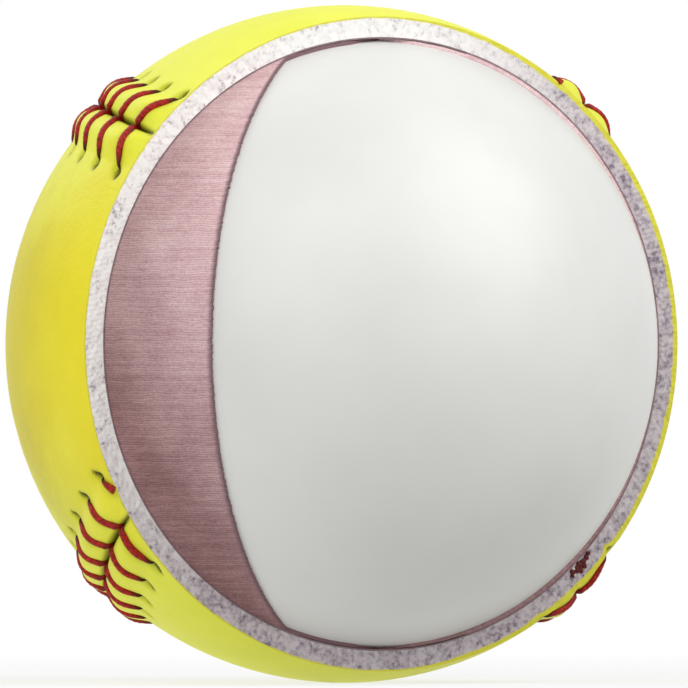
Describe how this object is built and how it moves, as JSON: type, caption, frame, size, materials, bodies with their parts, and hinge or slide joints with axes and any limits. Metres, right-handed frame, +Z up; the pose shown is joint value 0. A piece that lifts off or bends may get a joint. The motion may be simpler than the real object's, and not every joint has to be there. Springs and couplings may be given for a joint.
{
  "type": "softball cutaway",
  "caption": "Softball cut open for display: a bare moulded core and thread winding show in a sewn, raised-seam leather cover.",
  "frame": {"origin": "the ball's lowest point, where it sits in a ring or cup stand", "axes": "+Z up, -Y out of the opening in the cover, +X to the right seen from the opening"},
  "size_m": [0.097, 0.096, 0.097],
  "materials": {
    "core_foam": "satin",
    "winding_yarn": "matte",
    "cement_latex": "satin",
    "cover_leather": "satin",
    "waxed_thread": "satin"
  },
  "bodies": {
    "root": {"core": "core_foam", "winding": "winding_yarn", "cement_coat": "cement_latex", "cover_left_lobe": "cover_leather", "cover_right_lobe": "cover_leather", "cover_back_panel": "cover_leather", "left_seam_stitches": "waxed_thread", "right_seam_stitches": "waxed_thread"}
  },
  "joints": []
}
